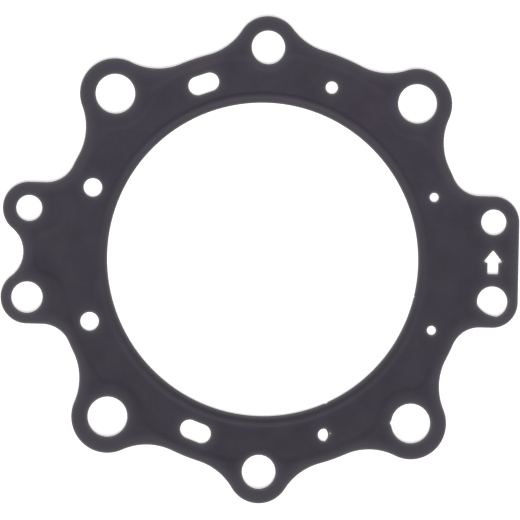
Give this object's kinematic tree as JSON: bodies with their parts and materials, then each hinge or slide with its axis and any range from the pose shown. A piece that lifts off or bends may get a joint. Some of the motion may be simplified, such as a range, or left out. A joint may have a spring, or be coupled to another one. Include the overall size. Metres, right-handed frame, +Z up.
{
  "type": "cylinder head gasket",
  "caption": "Flat coated-steel head gasket for one engine cylinder, with a beaded bore, a half bead round the coolant passages, stud lugs and side ears.",
  "frame": {"origin": "centre of the cylinder bore, on the lower face of the sheet round it", "axes": "+Z up through the bore, on the side that the beads stand out of; +X towards the ear with the arrow window; +Y the way the arrow points"},
  "size_m": [0.1694, 0.1586, 0.0008],
  "materials": {
    "coated_steel": "matt charcoal elastomer coating on spring steel"
  },
  "bodies": {
    "root": {"head_gasket": "coated_steel"}
  },
  "joints": []
}
